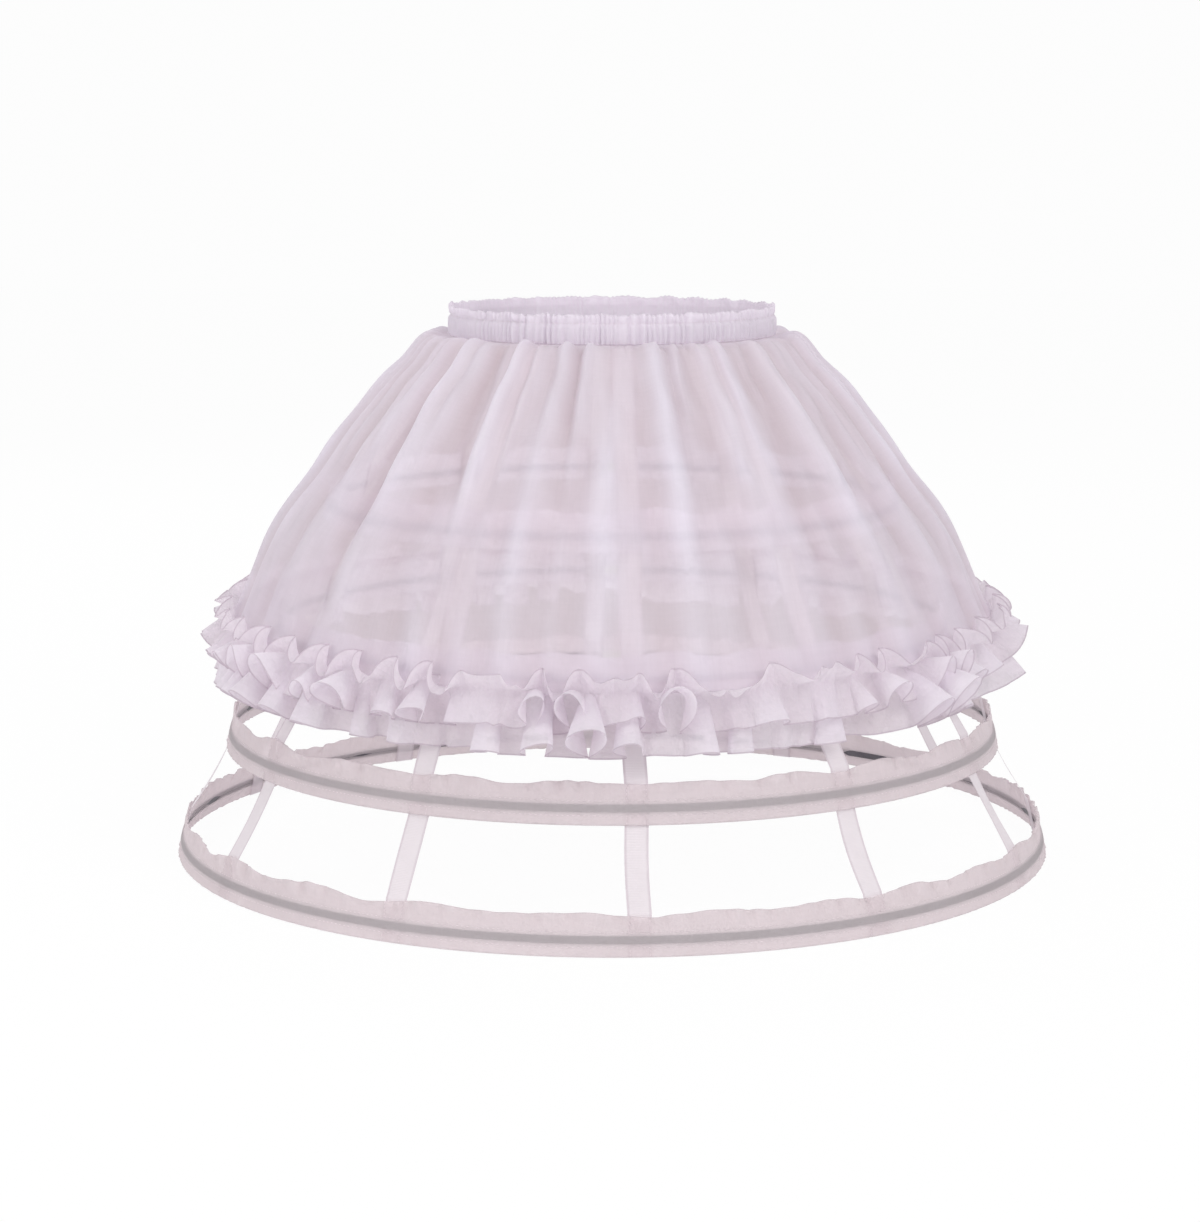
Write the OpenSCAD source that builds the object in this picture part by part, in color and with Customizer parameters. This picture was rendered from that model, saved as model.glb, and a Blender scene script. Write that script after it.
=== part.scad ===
// Crinoline cage: sprung hoops in sheer casings, hung on tapes from a gathered elastic
// waistband, under a short gathered overskirt with a double frill at its hem.
// Millimetres. +Z is up, the front faces -Y, and the origin is the centre of the hem at its lower edge.

/* [Waistband] */
// Inner diameter of the waist opening as worn
waist_d = 262; // [200:1:340]
// Height of the gathered header above the elastic
header_h = 7; // [3:1:15]
// Height of the elastic
elastic_w = 13; // [10:1:30]
// Thickness of the elastic
elastic_t = 1.2; // [0.8:0.1:2]
// How far the skirt and the tapes reach up into the waistband
seam_h = 3; // [2.5:0.5:8]
// Number of gathers round the waistband
gather_count = 96; // [60:4:140]
// Depth of the gathers in the waistband
gather_depth = 2; // [0.5:0.1:4]

/* [Cage] */
// Height from the hem's lower edge to the top of the waistband
cage_h = 456; // [430:1:560]
// Diameter of the hem hoop, at the middle of its bone
hem_hoop_d = 730; // [640:1:800]
// How much smaller each hoop is across than the one below it
hoop_step = 84; // [60:1:96]
// Spacing of the three lower hoops
hoop_pitch = 89; // [75:1:100]
// Spacing from the third hoop up to the top hoop
top_pitch = 103; // [75:1:110]

/* [Hoops] */
// Height of a hoop's flat bone
bone_w = 6; // [4:0.5:9]
// Thickness of a hoop's flat bone
bone_t = 1.2; // [0.8:0.1:2]
// Gap between a bone's two ends inside their sleeve
bone_gap = 1; // [0.5:0.5:3]
// Length of the sleeve that joins a bone's ends
sleeve_len = 26; // [16:1:50]
// Wall of the sleeve
sleeve_wall = 0.4; // [0.3:0.1:0.8]
// Height of a casing
casing_h = 32; // [26:1:46]
// Height of the bone's middle above the casing's lower edge
bone_rise = 13; // [10:0.5:20]
// Lean of a casing from the vertical, in degrees
casing_lean = 14; // [0:1:20]
// Radius of the rolled edges of a casing
edge_r = 0.7; // [0.5:0.1:1.2]

/* [Tapes] */
// Number of hanging tapes
tape_count = 12; // [6:1:16]
// Width of a tape
tape_w = 18; // [12:1:30]
// Thickness of a tape
tape_t = 0.5; // [0.4:0.1:0.8]
// Turn of the first tape from the front, in degrees
tape_turn = 3; // [-15:1:15]

/* [Skirt] */
// Drop of the skirt from the waistband to its hem
skirt_drop = 230; // [190:1:260]
// How full the skirt is near the waist: 1 is a straight cone, more is rounder
skirt_round = 1.7; // [1.2:0.05:2]
// How far the skirt hangs inside that curve halfway down
skirt_hollow = 8; // [0:0.5:12]
// How much lower the hem hangs at the front than at the back
front_dip = 14; // [0:1:20]
// Number of soft folds round the skirt
fold_count = 24; // [16:8:32]
// Depth of the deepest folds halfway down
fold_depth = 7; // [2:0.5:10]
// Clear space between the lower frill and the cage
skirt_gap = 3; // [1:0.5:12]

/* [Frills] */
// Number of flutes round each frill
flute_count = 32; // [24:8:40]
// Width of the upper frill, which stands out
upper_w = 30; // [20:1:45]
// How far the upper frill's free edge swings up and down
upper_swing = 14; // [4:0.5:16]
// Width of the lower frill, which hangs
lower_w = 52; // [35:1:70]
// How far the lower frill's free edge swings in and out
lower_swing = 8; // [3:0.5:12]
// Height of the seam that holds the frills to the skirt
frill_seam = 9; // [6:0.5:14]

/* [Cloth] */
// Thickness of the skirt and waistband cloth
cloth_t = 0.8; // [0.6:0.1:1.2]
// Thickness of a frill with its rolled edge
frill_t = 1; // [0.8:0.1:1.4]
// Thickness of one ply of a hoop casing
ply_t = 0.4; // [0.3:0.1:0.6]
// Clearance between pieces that are sewn or pushed together
fit_gap = 0.15; // [0.1:0.05:0.3]

/* [Hidden] */
$fn = 180;
hoop_count = 4;
hoop_names = [for (k = [1:hoop_count]) str(k)];
tape_names = [for (i = [1:tape_count]) str(i < 10 ? "0" : "", i)];

// Colours of the cloth, the ribbon and the coated bones
cloth_colour = "#ece6ef";
casing_colour = "#e4dbde";
tape_colour = "#e9e2e5";
bone_colour = "#b9b4bd";
sleeve_colour = "#c9c7c4";
elastic_colour = "#f4f1f3";

// Waistband: an inner ply, a slot for the elastic and the seam, and a gathered outer ply
slot_t = max(elastic_t + 2 * fit_gap, tape_t + cloth_t + 3 * fit_gap);
waist_r = waist_d / 2;
slot_r = waist_r + cloth_t;
outer_ply_r = slot_r + slot_t;
band_r = outer_ply_r + cloth_t;
band_h = header_h + elastic_w + seam_h + 2 * fit_gap;
band_z = cage_h - band_h;
slot_top_z = cage_h - header_h;
collar_r = outer_ply_r - fit_gap - cloth_t / 2;
tape_top_r = slot_r + fit_gap + tape_t / 2;
collar_top_z = band_z + seam_h - fit_gap;

// Hoops, counted from the hem up
sleeve_bore_t = bone_t + 2 * fit_gap;
sleeve_bore_w = bone_w + 2 * fit_gap;
sleeve_t = sleeve_bore_t + 2 * sleeve_wall;
sleeve_w = sleeve_bore_w + 2 * sleeve_wall;
channel_t = sleeve_t + 2 * fit_gap;
channel_w = sleeve_w + 2 * fit_gap;
channel_slit = 0.6;
channel_ramp = 2;
bulge_t = channel_t / 2 + ply_t;
hem_z = bone_rise * cos(casing_lean) + edge_r;
function hoop_r(k) = hem_hoop_d / 2 - k * hoop_step / 2;
function hoop_z(k) = hem_z + min(k, hoop_count - 2) * hoop_pitch + max(0, k - hoop_count + 2) * top_pitch;

// Radius of the cage, at the casings' outer face, at a height between the hoops
function cage_r(z) = bulge_t + lookup(z, [for (k = [0:hoop_count - 1]) [hoop_z(k), hoop_r(k)]]);

// Skirt and frills
ring_steps = 6 * flute_count;
skirt_stations = [0.1, 0.3, 0.55, 0.8, 1];
frill_stations = [0.5, 1];
collar_bend_z = band_z - cloth_t / 2 - fit_gap;
skirt_hem_z = collar_bend_z - skirt_drop;
lower_hem_z = skirt_hem_z - front_dip - lower_w + frill_seam;
lower_flare = 3;
skirt_hem_r = cage_r(lower_hem_z) + lower_swing + skirt_gap + frill_t + cloth_t;
seam_step = (cloth_t + frill_t) / 2 + 2 * fit_gap;
fold_at_hem = 0.35;
fold_start = 0.12;

// The skirt is at least round enough to pass outside the top hoop
top_k = hoop_count - 1;
top_pass_r = hoop_r(top_k) + bulge_t + fold_depth + skirt_gap + skirt_hollow;
top_pass_share = (top_pass_r - collar_r) / (skirt_hem_r - collar_r);
top_pass_drop = collar_bend_z - hoop_z(top_k) - front_dip * pow(top_pass_share, 2);
skirt_power = max(skirt_round, ln(top_pass_drop / skirt_drop) / ln(top_pass_share));

upper_droop = 24;

// A point at radius r and height z, at angle a from the front towards +X
function polar(r, a, z) = [r * sin(a), -r * cos(a), z];
function unit(v) = v / norm(v);

// Direction along a line of points at its point k, and the side that lies to its left
function along(line, k) = unit(line[min(k + 1, len(line) - 1)] - line[max(k - 1, 0)]);
function left_of(d) = [-d.y, d.x];

// Closed section of a strip of thickness t that follows a line of [radius, height] points
function strip_section(line, t) = concat(
    [for (k = [0:len(line) - 1]) line[k] - left_of(along(line, k)) * t / 2],
    [for (k = [len(line) - 1:-1:0]) line[k] + left_of(along(line, k)) * t / 2]
);

// Sheet of cloth round the axis, of even thickness t, from a line of [radius, height] points for each step
module ring_sheet(lines, t) {
    n = len(lines);
    m = len(lines[0]);
    rows = [for (i = [0:n - 1]) [for (p = lines[i]) polar(p.x, i * 360 / n, p.y)]];
    function round_at(i, k) = rows[(i + 1) % n][k] - rows[(i + n - 1) % n][k];
    function face_at(i, k) = unit(cross(along(rows[i], k), round_at(i, k)));
    points = [for (i = [0:n - 1]) each concat(
        [for (k = [0:m - 1]) rows[i][k] - face_at(i, k) * t / 2],
        [for (k = [m - 1:-1:0]) rows[i][k] + face_at(i, k) * t / 2]
    )];
    function at(i, j) = (i % n) * 2 * m + j % (2 * m);
    // Both sides of the cloth split along the same diagonal, so that it keeps its thickness
    faces = [for (i = [0:n - 1]) for (j = [0:2 * m - 1]) each j < m ? [
        [at(i, j), at(i, j + 1), at(i + 1, j + 1)],
        [at(i, j), at(i + 1, j + 1), at(i + 1, j)]
    ] : [
        [at(i, j), at(i, j + 1), at(i + 1, j)],
        [at(i, j + 1), at(i + 1, j + 1), at(i + 1, j)]
    ]];
    polyhedron(points, faces);
}

// Folds of the skirt at angle a: uneven in width, depth and lean, so that no two neighbours match
function fold_phase(a) =
    fold_count * a + 38 * sin(5 * a + 20) + 30 * sin(3 * a + 100) + 16 * sin(11 * a + 200);
function fold_size(a) = (1 + 0.2 * sin(7 * a + 50) + 0.15 * sin(4 * a + 150)) / 1.35;
function fold_wave(a) =
    fold_size(a) * (cos(fold_phase(a)) + 0.25 * cos(2 * fold_phase(a) + 60)) / 1.25;

// Share of the fold depth at u, from 0 at the waist to 1 at the hem
function fold_share(u) = u < fold_start ? u / fold_start * 0.4
    : u < 0.6 ? 0.4 + 0.6 * (u - fold_start) / (0.6 - fold_start)
    : 1 - (1 - fold_at_hem) * (u - 0.6) / 0.4;

// How much lower the skirt hangs at u and angle a, most at the front of the hem
function dip_at(u, a) = front_dip * pow(u, 2) * pow((1 + cos(a)) / 2, 2);

// Radius and height of the skirt at u, without and with its folds, which stand square to the cloth
function skirt_line(u) = [
    collar_r + (skirt_hem_r - collar_r) * u - skirt_hollow * sin(180 * u),
    collar_bend_z - skirt_drop * pow(u, skirt_power)
];
function skirt_point(u, a) =
    let (d = unit(skirt_line(u) - skirt_line(u - 0.002)))
    skirt_line(u) + left_of(d) * fold_depth * fold_share(u) * fold_wave(a) - [0, dip_at(u, a)];

// Flutes of the frills at angle a, with a slow change from flute to flute
function flute(a) = cos(flute_count * a) * (1 + 0.25 * sin(5 * a)) / 1.25;

// Ring of cloth hung from the slot of the waistband, with a collar that stands up into the slot
module overskirt() {
    color(cloth_colour) ring_sheet([for (i = [0:ring_steps - 1])
        let (a = i * 360 / ring_steps)
        concat(
            [[collar_r, collar_top_z], [collar_r, collar_bend_z]],
            [for (u = skirt_stations) skirt_point(u, a)]
        )], cloth_t);
}

// Place at the skirt's hem seam: h up the cloth from the hem, and out from its middle
function seam_point(h, a, out) =
    let (
        top = skirt_point(skirt_stations[len(skirt_stations) - 2], a),
        hem = skirt_point(1, a),
        d = unit(top - hem)
    )
    hem + d * h - left_of(d) * out;

// Frill sewn to the outside of the skirt's hem, standing out in flutes
module upper_frill() {
    color(cloth_colour) ring_sheet([for (i = [0:ring_steps - 1])
        let (
            a = i * 360 / ring_steps,
            top = seam_point(frill_seam, a, seam_step),
            low = seam_point(1, a, seam_step),
            reach = [upper_w * cos(upper_droop), upper_swing * flute(a) - upper_w * sin(upper_droop)]
        )
        concat([top, low], [for (s = frill_stations) low + reach * s])], frill_t);
}

// Frill sewn to the inside of the skirt's hem, hanging in flutes
module lower_frill() {
    color(cloth_colour) ring_sheet([for (i = [0:ring_steps - 1])
        let (
            a = i * 360 / ring_steps,
            top = seam_point(frill_seam, a, -seam_step),
            low = seam_point(0, a, -seam_step),
            reach = [lower_flare + lower_swing * flute(a), frill_seam - lower_w]
        )
        concat([top, low], [for (s = frill_stations) low + reach * s])], frill_t);
}

// Outline of the waistband seen from above, with its gathers
module gathered_outline() {
    steps = 4 * gather_count;
    polygon([for (i = [0:steps - 1])
        let (a = i * 360 / steps, r = band_r + gather_depth * (0.5 + 0.5 * cos(gather_count * a)))
        [r * cos(a), r * sin(a)]]);
}

// Folded strip: a bore for the waist, and a slot from below for the elastic and the seam
module waistband() {
    color(cloth_colour) difference() {
        translate([0, 0, band_z]) linear_extrude(band_h) gathered_outline();
        translate([0, 0, band_z - 1]) cylinder(r = waist_r, h = band_h + 2);
        translate([0, 0, band_z - 1]) difference() {
            cylinder(r = outer_ply_r, h = slot_top_z - band_z + 1);
            translate([0, 0, -1]) cylinder(r = slot_r, h = slot_top_z - band_z + 3);
        }
    }
}

// Flat elastic at the top of the slot
module waist_elastic() {
    color(elastic_colour) translate([0, 0, slot_top_z - fit_gap - elastic_w]) difference() {
        cylinder(r = slot_r + slot_t / 2 + elastic_t / 2, h = elastic_w);
        translate([0, 0, -1]) cylinder(r = slot_r + slot_t / 2 - elastic_t / 2, h = elastic_w + 2);
    }
}

// Places a section at hoop k, with its own Y up the lean of the casing
module at_hoop(k) {
    translate([hoop_r(k), hoop_z(k)]) rotate(casing_lean) children();
}

module box_section(t, h) {
    square([t, h], center = true);
}

// Flat section with its edges taken off
module bone_section() {
    edge = bone_t / 4;
    corner = (bone_w + bone_t) / sqrt(2) - edge * sqrt(2);
    intersection() {
        box_section(bone_t, bone_w);
        rotate(45) box_section(corner, corner);
    }
}

// Two plies with rolled edges, parted round the bone, and a slit on the inside where the bone went in
module casing_section() {
    low = -bone_rise;
    high = casing_h - bone_rise;
    half = channel_w / 2;
    difference() {
        union() {
            translate([-ply_t, low]) square([2 * ply_t, high - low]);
            for (y = [low, high]) translate([0, y]) circle(r = edge_r, $fn = 8);
            polygon([
                [ply_t, -half - channel_ramp], [bulge_t, -half],
                [bulge_t, half], [ply_t, half + channel_ramp],
                [-ply_t, half + channel_ramp], [-bulge_t, half],
                [-bulge_t, -half], [-ply_t, -half - channel_ramp]
            ]);
        }
        box_section(channel_t, channel_w);
        translate([-bulge_t - 1, -half]) square([bulge_t + 1, channel_slit]);
    }
}

module hoop_casing(k) {
    color(casing_colour) rotate_extrude() at_hoop(k) casing_section();
}

// Sprung bone, open at the back by the gap between its ends
module hoop_bone(k) {
    gap = bone_gap / hoop_r(k) * 180 / PI;
    color(bone_colour) rotate([0, 0, 90 + gap / 2])
        rotate_extrude(angle = 360 - gap) at_hoop(k) bone_section();
}

// Flat tube over the bone's two ends at the back
module bone_sleeve(k) {
    span = sleeve_len / hoop_r(k) * 180 / PI;
    color(sleeve_colour) rotate([0, 0, 90 - span / 2])
        rotate_extrude(angle = span) at_hoop(k) difference() {
            box_section(sleeve_t, sleeve_w);
            box_section(sleeve_bore_t, sleeve_bore_w);
        }
}

// Place on the inner face of hoop k's casing, s up from its bone
tape_seat = bulge_t + fit_gap + tape_t / 2;
function tape_at(k, s) = [
    hoop_r(k) - s * sin(casing_lean) - tape_seat * cos(casing_lean),
    hoop_z(k) + s * cos(casing_lean) - tape_seat * sin(casing_lean)
];

// Line of a tape from the slot of the waistband down the inside of every casing
tape_line = concat(
    [[tape_top_r, collar_top_z], [tape_top_r, band_z - 2 * cloth_t]],
    [for (k = [hoop_count - 1:-1:0])
        each [tape_at(k, casing_h - bone_rise + edge_r), tape_at(k, edge_r - bone_rise)]]
);

module tape(i) {
    long = hem_hoop_d;
    color(tape_colour) intersection() {
        rotate_extrude() polygon(strip_section(tape_line, tape_t));
        rotate([0, 0, tape_turn + i * 360 / tape_count - 90])
            translate([0, -tape_w / 2, 0]) cube([long, tape_w, cage_h]);
    }
}

waistband();
waist_elastic();
overskirt();
upper_frill();
lower_frill();
for (k = [0:hoop_count - 1]) {
    hoop_casing(k);
    hoop_bone(k);
    bone_sleeve(k);
}
for (i = [0:tape_count - 1])
    tape(i);
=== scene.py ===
"""Looks of a hooped crinoline cage under a short sheer overskirt with a double frill.

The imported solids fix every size. Cloth is drawn as single sheets with its real gathers, folds and
flutes. The hoop bones, their sleeves and the waist elastic keep their solids and get finer finishes.
Angles run from the front (-Y) towards +X, and cloth UV maps are in metres.
"""

import logging
import math
import random
from dataclasses import dataclass, field, replace
from enum import Enum
from typing import Any, Callable

import bmesh
import bpy
import numpy as np
from mathutils import Matrix, Vector


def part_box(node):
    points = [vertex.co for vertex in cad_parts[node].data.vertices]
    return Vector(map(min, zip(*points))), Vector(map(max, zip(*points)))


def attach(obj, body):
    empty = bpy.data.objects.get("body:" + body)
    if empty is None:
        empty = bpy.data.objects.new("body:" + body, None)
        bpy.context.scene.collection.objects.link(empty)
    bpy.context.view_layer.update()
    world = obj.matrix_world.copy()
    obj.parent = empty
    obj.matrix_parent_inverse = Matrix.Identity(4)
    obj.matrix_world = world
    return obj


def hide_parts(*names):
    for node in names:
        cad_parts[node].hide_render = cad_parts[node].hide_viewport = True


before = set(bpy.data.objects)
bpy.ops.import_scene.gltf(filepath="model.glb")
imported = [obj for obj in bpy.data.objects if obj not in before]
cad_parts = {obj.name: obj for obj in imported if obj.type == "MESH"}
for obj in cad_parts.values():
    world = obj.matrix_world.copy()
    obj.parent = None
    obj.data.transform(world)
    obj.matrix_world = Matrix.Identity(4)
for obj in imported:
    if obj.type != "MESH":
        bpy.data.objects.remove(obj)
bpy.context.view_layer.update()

logging.basicConfig(level=logging.INFO, format="%(name)s: %(message)s")
log = logging.getLogger("crinoline")

MM = 0.001
TURN = math.tau
CLOTH_UV = "cloth"
FOLD_LAYER = "fold"
HOOPS = (1, 2, 3, 4)  # counted from the hem up
BARE_HOOPS = (1, 2)  # below the skirt
TAPES = 12

Array = np.ndarray
Material, Object = bpy.types.Material, bpy.types.Object
Tree, Socket = bpy.types.NodeTree, bpy.types.NodeSocket
Span = tuple[float, float]
Place = Callable[[Array, Array], tuple[Array, Array]]


def linear(hex_code: str) -> tuple[float, float, float, float]:
    """Turns an sRGB hex colour into linear RGBA.

    Args:
        hex_code: six hex digits with a leading #.

    Returns:
        Linear red, green, blue, and an alpha of 1.
    """
    values = [int(hex_code[i:i + 2], 16) / 255 for i in (1, 3, 5)]
    red, green, blue = (v / 12.92 if v <= 0.04045 else ((v + 0.055) / 1.055) ** 2.4 for v in values)
    return red, green, blue, 1.0


def add_node(tree: Tree, kind: str, inputs: dict | None = None,
             **settings: Any) -> bpy.types.Node:
    """Adds one node with its settings, values and links.

    Args:
        tree: the node tree that gets the node.
        kind: the node's type name.
        inputs: socket name or number to a value, or to the output socket that feeds it.
        settings: the node's own properties.

    Returns:
        The new node.
    """
    node = tree.nodes.new(kind)
    for name, value in settings.items():
        setattr(node, name, value)
    for key, value in (inputs or {}).items():
        if isinstance(value, Socket):
            tree.links.new(value, node.inputs[key])
        else:
            node.inputs[key].default_value = value
    return node


def new_tree(name: str) -> tuple[Material, Tree]:
    """Makes an empty node material and returns it with its tree."""
    material = bpy.data.materials.new(name)
    material.use_nodes = True
    material.node_tree.nodes.clear()
    return material, material.node_tree


def add_math(tree: Tree, operation: str, *values: Any, clamp: bool = False) -> Socket:
    """Adds a Math node on numbers or sockets and returns its result."""
    return add_node(tree, "ShaderNodeMath", dict(enumerate(values)), operation=operation,
                    use_clamp=clamp).outputs["Value"]


def add_range(tree: Tree, value: Socket, old: Span = (0.0, 1.0), new: Span = (0.0, 1.0),
              kind: str = "LINEAR") -> Socket:
    """Adds a Map Range node from an old span to a new one and returns its result."""
    spans = {"From Min": old[0], "From Max": old[1], "To Min": new[0], "To Max": new[1]}
    node = add_node(tree, "ShaderNodeMapRange", {"Value": value, **spans}, interpolation_type=kind)
    return node.outputs["Result"]


def add_blend(tree: Tree, share: Socket, first: Any, second: Any) -> Socket:
    """Adds a mix of two colours, by the share of the second, and returns its result."""
    node = add_node(tree, "ShaderNodeMix", {"Factor": share, 6: first, 7: second}, data_type="RGBA")
    return node.outputs[2]


def add_veil(tree: Tree, share: Any, first: Socket, second: Socket) -> Socket:
    """Adds a mix of two shaders, by the share of the second, and returns its result."""
    return add_node(tree, "ShaderNodeMixShader", {0: share, 1: first, 2: second}).outputs["Shader"]


def add_bands(tree: Tree, at: Socket, pitch_mm: float, distortion: float,
              way: str) -> Socket:
    """Adds bands at a pitch in millimetres, on coordinates in metres, and returns their height."""
    scale = TURN / (20 * pitch_mm * MM)  # a Wave Texture repeats every TURN / 20 of its scaled coordinate
    return add_node(tree, "ShaderNodeTexWave", {"Vector": at, "Scale": scale, "Distortion": distortion},
                    bands_direction=way).outputs["Fac"]


def add_noise(tree: Tree, at: Socket, size_mm: float, detail: float,
              roughness: float = 0.5, dimensions: str = "2D") -> Socket:
    """Adds noise of a grain size in millimetres, on coordinates in metres, and returns its height."""
    values = {"Vector": at, "Scale": 1 / (size_mm * MM), "Detail": detail, "Roughness": roughness}
    return add_node(tree, "ShaderNodeTexNoise", values, noise_dimensions=dimensions).outputs["Fac"]


def add_bump(tree: Tree, height: Socket, strength: float, depth_mm: float,
             under: Socket | None = None) -> Socket:
    """Adds a bump of a depth in millimetres, on top of another if given, and returns its normal."""
    values = {"Height": height, "Strength": strength, "Distance": depth_mm * MM}
    if under is not None:
        values["Normal"] = under
    return add_node(tree, "ShaderNodeBump", values).outputs["Normal"]


def edge_mask(tree: Tree, cloth: Socket, width_mm: float, edge_mm: float,
              soft_mm: float) -> Socket:
    """Adds nodes that are 1 along both long edges of a strip and 0 between them.

    Args:
        tree: the node tree that gets the nodes.
        cloth: the strip's UV map, in metres.
        width_mm: width of the strip.
        edge_mm: width of each edge.
        soft_mm: how softly the edge ends.

    Returns:
        The socket with the mask.
    """
    across = add_node(tree, "ShaderNodeSeparateXYZ", {"Vector": cloth}).outputs["Y"]
    middle = add_math(tree, "SUBTRACT", across, width_mm / 2 * MM)
    start = width_mm / 2 - edge_mm
    span = ((start - soft_mm / 2) * MM, (start + soft_mm / 2) * MM)
    return add_range(tree, add_math(tree, "ABSOLUTE", middle), span, kind="SMOOTHSTEP")


def finish_sheer(tree: Tree, tone: Socket, normal: Socket,
                 cover: Socket, glow: float, gloss: dict[str, float]) -> None:
    """Adds a thin cloth's surface and the output: threads lit from both sides, and clear gaps.

    Args:
        tree: the node tree that gets the nodes.
        tone: the threads' colour.
        normal: the bumped normal.
        cover: share that the threads cover.
        glow: share of the light that comes through them from behind.
        gloss: the front's roughness, specular level and sheen.
    """
    lit = {"Base Color": tone, "Normal": normal, "IOR": 1.5, **gloss}
    front = add_node(tree, "ShaderNodeBsdfPrincipled", lit)
    through = add_node(tree, "ShaderNodeBsdfTranslucent", {"Color": tone, "Normal": normal})
    threads = add_veil(tree, glow, front.outputs["BSDF"], through.outputs["BSDF"])
    clear = add_node(tree, "ShaderNodeBsdfTransparent")
    sheer = add_veil(tree, cover, clear.outputs["BSDF"], threads)
    add_node(tree, "ShaderNodeOutputMaterial", {"Surface": sheer})


@dataclass(frozen=True)
class SheerCloth:
    """Plain-woven sheer polyester voile, lightly gathered or stitched.

    The eye sees fine threads with slubs, light that comes through from behind, painted shade in the
    fold valleys, cover that changes with fold depth, and a soft bloom rather than a shine.
    """

    name: str
    light: str
    shade: str
    opacity: float
    glow: float
    # share of painted shade that the fold attribute mixes into the fold valleys
    fold_painted_shade: float = 0.5
    fold_opacity: float = 0.1
    thread_mm: float = 1.5  # real threads are about 0.2 mm apart; drawn coarser so that they show
    slub_mm: float = 2.2
    slub_stretch: float = 0.06
    crinkle_mm: float = 14.0
    crinkle_depth: float = 0.35
    patch_mm: float = 70.0
    strip_mm: float = 0.0
    hem_mm: float = 1.1
    hem_soft_mm: float = 0.5
    hem: str = "#c6b8c3"

    def material(self) -> Material:
        """Builds the node material.

        Returns:
            The material, which reads the cloth UV map and the fold attribute.
        """
        material, tree = new_tree(self.name)
        cloth = add_node(tree, "ShaderNodeUVMap", uv_map=CLOTH_UV).outputs["UV"]
        fold = add_node(tree, "ShaderNodeAttribute", attribute_name=FOLD_LAYER).outputs["Fac"]
        threads = (add_bands(tree, cloth, self.thread_mm, distortion=0.6, way=way) for way in "XY")
        weave = add_math(tree, "MULTIPLY", *threads)
        streaks = []
        for stretch in ((1.0, self.slub_stretch, 1.0), (self.slub_stretch, 1.0, 1.0)):
            line = add_node(tree, "ShaderNodeMapping", {"Vector": cloth, "Scale": stretch})
            streaks.append(add_noise(tree, line.outputs["Vector"], self.slub_mm, detail=2.0))
        slub = add_math(tree, "ADD", *streaks)
        crinkle = add_noise(tree, cloth, self.crinkle_mm, detail=4.0, roughness=0.55)
        fine = add_bump(tree, add_math(tree, "MULTIPLY_ADD", weave, 0.12, slub), strength=0.1, depth_mm=0.25)
        normal = add_bump(tree, crinkle, self.crinkle_depth, depth_mm=4.0, under=fine)
        patch = add_range(tree, add_noise(tree, cloth, self.patch_mm, detail=1.0), new=(0.3, 0.6))
        # painted shade: the fold attribute mixes the shade colour into fold valleys, over random patches
        level = add_math(tree, "MULTIPLY_ADD", fold, self.fold_painted_shade, patch, clamp=True)
        tone = add_blend(tree, level, linear(self.light), linear(self.shade))
        dense = add_range(tree, slub, (0.7, 1.3), (self.opacity - 0.01, self.opacity + 0.01))
        cover = add_math(tree, "MULTIPLY_ADD", fold, self.fold_opacity, dense, clamp=True)
        if self.strip_mm:
            rolled = edge_mask(tree, cloth, self.strip_mm, self.hem_mm, self.hem_soft_mm)
            tone = add_blend(tree, add_math(tree, "MULTIPLY", rolled, 0.7), tone, linear(self.hem))
            cover = add_math(tree, "MULTIPLY_ADD", rolled, 0.12, cover, clamp=True)
        finish_sheer(tree, tone, normal, cover, self.glow, {
            "Roughness": 0.8, "Specular IOR Level": 0.25, "Sheen Weight": 0.15, "Sheen Roughness": 0.5})
        return material


@dataclass(frozen=True)
class RibbonTape:
    """Narrow woven polyester ribbon, semi-sheer, with firm selvedges.

    The eye sees cross ribs, a denser line along each edge and a faint satin light.
    """

    name: str = "polyester_grosgrain_ribbon"
    light: str = "#f4edf1"
    edge: str = "#ddd3d9"
    width_mm: float = 18.0
    selvedge_mm: float = 1.3
    rib_mm: float = 1.6  # real ribs are about 0.5 mm apart; drawn coarser so that they show
    stain_mm: float = 25.0
    opacity: float = 0.93
    glow: float = 0.3

    def material(self) -> Material:
        """Builds the node material.

        Returns:
            The material, which reads the cloth UV map.
        """
        material, tree = new_tree(self.name)
        cloth = add_node(tree, "ShaderNodeUVMap", uv_map=CLOTH_UV).outputs["UV"]
        rib = add_bands(tree, cloth, self.rib_mm, distortion=0.4, way="X")
        stain = add_noise(tree, cloth, self.stain_mm, detail=3.0)
        selvedge = edge_mask(tree, cloth, self.width_mm, 1.2 * self.selvedge_mm, 1.6 * self.selvedge_mm)
        worn = add_math(tree, "MULTIPLY_ADD", stain, 0.35, selvedge, clamp=True)
        tone = add_blend(tree, worn, linear(self.light), linear(self.edge))
        cover = add_math(tree, "MULTIPLY_ADD", selvedge, 0.07, self.opacity, clamp=True)
        finish_sheer(tree, tone, add_bump(tree, rib, strength=0.3, depth_mm=0.25), cover, self.glow, {
            "Roughness": 0.55, "Specular IOR Level": 0.35, "Sheen Weight": 0.1})
        return material


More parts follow.
